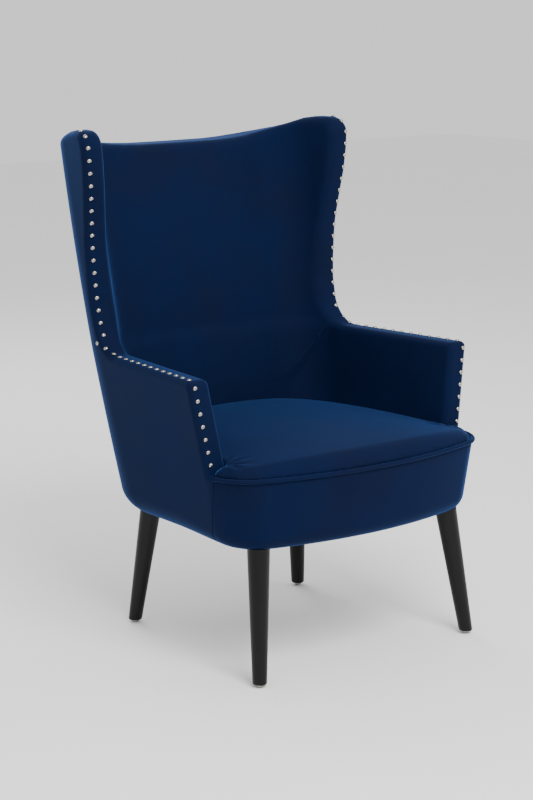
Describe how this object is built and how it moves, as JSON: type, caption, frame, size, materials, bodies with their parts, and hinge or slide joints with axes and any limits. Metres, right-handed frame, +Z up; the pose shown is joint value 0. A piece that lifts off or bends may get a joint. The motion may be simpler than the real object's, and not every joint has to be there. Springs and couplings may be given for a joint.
{
  "type": "armchair",
  "caption": "Fixed wingback armchair in dark blue velvet with flared arms, nailhead edges, a bowed piped seat front and tapered black wooden legs",
  "frame": {"origin": "on the floor under the middle of the chair's bounding box", "axes": "+Z up, +X the sitter's left, -Y the front, the way the sitter faces"},
  "size_m": [0.7058, 0.7212, 1.0206],
  "materials": {
    "velvet": "woven",
    "black_wood": "satin",
    "nickel": "polished",
    "frame_wood": "raw",
    "zinc_steel": "satin",
    "foam": "matte",
    "webbing": "woven",
    "board": "matte",
    "lining": "matte"
  },
  "bodies": {
    "root": {"leg_front_left": "black_wood", "leg_front_right": "black_wood", "leg_rear_left": "black_wood", "leg_rear_right": "black_wood", "outside_cover_left": "velvet", "outside_cover_right": "velvet", "outside_back_cover": "velvet", "inside_back_cover": "velvet", "inside_arm_cover_left": "velvet", "inside_arm_cover_right": "velvet", "seat_top_cover": "velvet", "front_border_cover": "velvet", "seat_piping": "velvet", "nailheads_left": "nickel", "nailheads_right": "nickel", "leg_glides": "nickel", "front_seat_rail": "frame_wood", "rear_seat_rail": "frame_wood", "seat_rail_left": "frame_wood", "seat_rail_right": "frame_wood", "front_corner_blocks": "frame_wood", "rear_corner_blocks": "frame_wood", "arm_post_left": "frame_wood", "arm_post_right": "frame_wood", "arm_rail_left": "frame_wood", "arm_rail_right": "frame_wood", "wing_post_left": "frame_wood", "wing_post_right": "frame_wood", "wing_ribs_left": "frame_wood", "wing_ribs_right": "frame_wood", "back_post_left": "frame_wood", "back_post_right": "frame_wood", "crest_rail": "frame_wood", "lower_back_rail": "frame_wood", "hanger_bolts": "zinc_steel", "threaded_inserts": "zinc_steel", "frame_screws": "zinc_steel", "seat_springs": "zinc_steel", "spring_clips": "zinc_steel", "tie_wires": "zinc_steel", "dust_cover_staples": "zinc_steel", "seat_foam": "foam", "front_border_foam": "foam", "back_foam": "foam", "wing_foam_left": "foam", "wing_foam_right": "foam", "arm_foam_left": "foam", "arm_foam_right": "foam", "back_webbing": "webbing", "side_backing_left": "board", "side_backing_right": "board", "back_backing": "board", "seat_deck": "lining", "dust_cover": "lining"}
  },
  "joints": []
}
